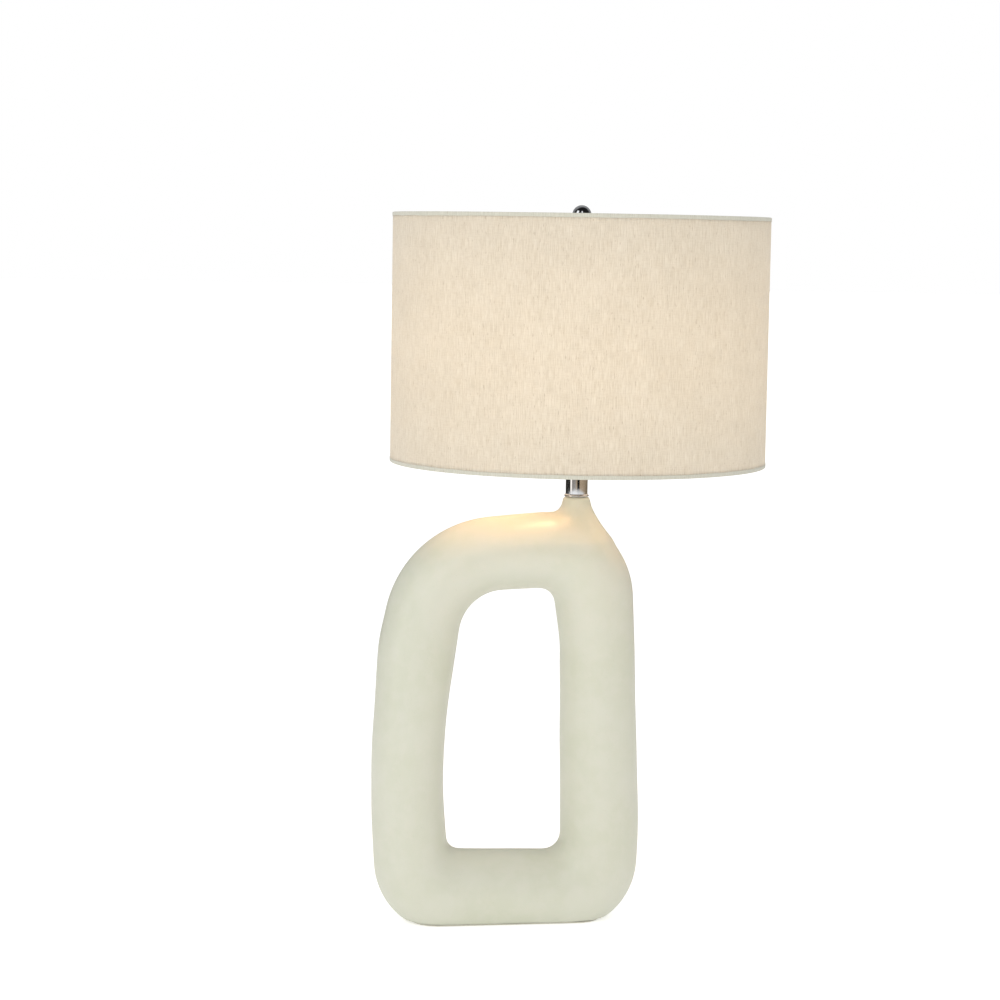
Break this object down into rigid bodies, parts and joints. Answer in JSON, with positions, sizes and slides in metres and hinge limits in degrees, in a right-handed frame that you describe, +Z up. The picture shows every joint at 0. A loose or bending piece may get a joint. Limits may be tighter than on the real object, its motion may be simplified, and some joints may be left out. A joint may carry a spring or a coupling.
{
  "type": "table lamp with shade",
  "caption": "Table lamp with a hollow ceramic rounded loop base, chrome neck, rotary switch socket, harp, and linen drum shade held by a ball finial.",
  "frame": {"origin": "centre of the lamp's whole footprint, on the surface it stands on", "axes": "+Z up, +X towards the side of the loop that carries the neck, +Y towards the back, where the cord goes in"},
  "size_m": [0.453, 0.4328, 0.831],
  "materials": {
    "ceramic": "matte pale sage-cream glaze, faintly mottled",
    "felt": "dense undyed wool felt",
    "black_plastic": "moulded",
    "zinc_steel": "zinc plated",
    "chrome": "polished",
    "nickel": "satin nickel plate",
    "fibre_paper": "insulating paper",
    "phenolic": "moulded phenolic",
    "brass": "stamped",
    "bulb_glass": "frosted",
    "bulb_stem": "warm white light strips on a white heat sink",
    "linen": "natural slub linen",
    "linen_tape": "self-fabric edge tape",
    "shade_film": "translucent white lining film"
  },
  "bodies": {
    "base": {"base_shell": "ceramic", "felt_pad": "felt", "cord_bushing": "black_plastic", "lamp_pipe": "zinc_steel", "bottom_nut": "zinc_steel", "lock_washer": "zinc_steel", "bottom_washer": "zinc_steel", "neck_ring": "chrome", "neck_tube": "chrome", "neck_cap": "chrome", "harp_saddle": "nickel", "harp": "nickel", "socket_cap": "nickel", "set_screw": "zinc_steel", "socket_shell": "nickel", "socket_liner": "fibre_paper", "socket_core": "phenolic", "screw_shell": "brass", "center_contact": "brass", "terminal_screws": "brass"},
    "switch_knob": {"switch_shaft": "zinc_steel", "turn_knob": "phenolic"},
    "sleeve_left": {"harp_sleeve_left": "nickel"},
    "sleeve_right": {"harp_sleeve_right": "nickel"},
    "bulb_contact": {"bulb_tip": "brass"},
    "bulb": {"bulb_insulator": "phenolic", "bulb_screw_base": "nickel", "bulb_glass": "bulb_glass", "bulb_stem": "bulb_stem"},
    "stud": {"swivel_stud": "nickel"},
    "shade": {"spider_hub": "nickel", "spider_arms": "nickel", "top_ring": "nickel", "bottom_ring": "nickel", "shade_liner": "shade_film", "shade_fabric": "linen", "shade_seam": "linen", "top_trim": "linen_tape", "bottom_trim": "linen_tape"},
    "finial_foot": {"finial_base": "chrome"},
    "finial": {"finial_ball": "chrome"}
  },
  "joints": [
    {"name": "knob_turn", "type": "hinge", "parent": "base", "child": "switch_knob", "pos_m": [0.01, -0.03, 0.571], "axis": [0, -1, 0], "continuous": true},
    {"name": "sleeve_left_slide", "type": "slide", "parent": "base", "child": "sleeve_left", "axis": [0, 0, 1], "range_m": [0, 0.014]},
    {"name": "sleeve_right_slide", "type": "slide", "parent": "base", "child": "sleeve_right", "axis": [0, 0, 1], "range_m": [0, 0.014]},
    {"name": "bulb_rise", "type": "slide", "parent": "base", "child": "bulb_contact", "axis": [0, 0, 1], "range_m": [0, 0.0109]},
    {"name": "bulb_turn", "type": "hinge", "parent": "bulb_contact", "child": "bulb", "pos_m": [0.01, 0, 0.6], "axis": [0, 0, 1], "range_deg": [0, 1080]},
    {"name": "shade_turn", "type": "hinge", "parent": "base", "child": "stud", "pos_m": [0.01, 0, 0.795], "axis": [0, 0, 1], "continuous": true},
    {"name": "shade_lift", "type": "slide", "parent": "stud", "child": "shade", "axis": [0, 0, 1], "range_m": [0, 0.32]},
    {"name": "finial_rise", "type": "slide", "parent": "shade", "child": "finial_foot", "axis": [0, 0, 1], "range_m": [0, 0.00565]},
    {"name": "finial_turn", "type": "hinge", "parent": "finial_foot", "child": "finial", "pos_m": [0.01, 0, 0.82], "axis": [0, 0, 1], "range_deg": [0, 2160]}
  ],
  "couplings": [
    {"joint": "bulb_rise", "follows": "bulb_turn", "m_per_rad": 0.0005775},
    {"joint": "finial_rise", "follows": "finial_turn", "m_per_rad": 0.00014972}
  ]
}
